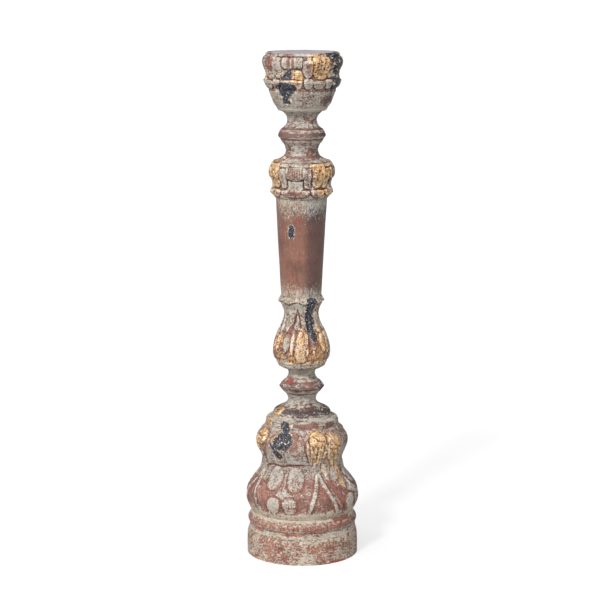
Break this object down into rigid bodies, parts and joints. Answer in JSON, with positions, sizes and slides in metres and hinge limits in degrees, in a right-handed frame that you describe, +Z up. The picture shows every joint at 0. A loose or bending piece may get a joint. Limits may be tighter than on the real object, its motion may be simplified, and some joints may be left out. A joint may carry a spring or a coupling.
{
  "type": "altar candlestick",
  "caption": "Tall turned and carved wooden altar candlestick on a round bell-shaped base, with a baluster, a tapered shaft and a carved cup whose flat top holds a pillar candle.",
  "frame": {"origin": "middle of the plinth's underside, on the turning axis", "axes": "+Z up along the turning axis, -Y towards the front of the candlestick"},
  "size_m": [0.1354, 0.1354, 0.61],
  "materials": {
    "worn_base_paint": "chipped red-brown ground under worn beige limewash, matt",
    "limewash": "beige-grey limewash over red-brown wood, rubbed through on the edges, matt",
    "gilded_carving": "limewashed carving with broken gold leaf and blue-black paint in patches",
    "stained_shaft": "smooth red-brown stain, satin, limewash fading in at both ends",
    "plate_paint": "lilac-grey paint, satin",
    "dowel_beech": "bare beech",
    "screw_steel": "zinc-plated steel"
  },
  "bodies": {
    "root": {"plinth": "worn_base_paint", "base_ring": "worn_base_paint", "carved_bell": "gilded_carving", "cap_disc": "limewash", "lower_knop": "limewash", "baluster": "gilded_carving", "shaft": "stained_shaft", "capital": "gilded_carving", "upper_knop": "limewash", "cup": "gilded_carving", "candle_plate": "plate_paint", "base_dowel": "dowel_beech", "cap_disc_dowel": "dowel_beech", "baluster_dowel": "dowel_beech", "shaft_dowel": "dowel_beech", "capital_dowel": "dowel_beech", "upper_knop_dowel": "dowel_beech", "cup_dowel": "dowel_beech", "base_screw_1": "screw_steel", "base_screw_2": "screw_steel", "base_screw_3": "screw_steel", "base_screw_4": "screw_steel"}
  },
  "joints": []
}
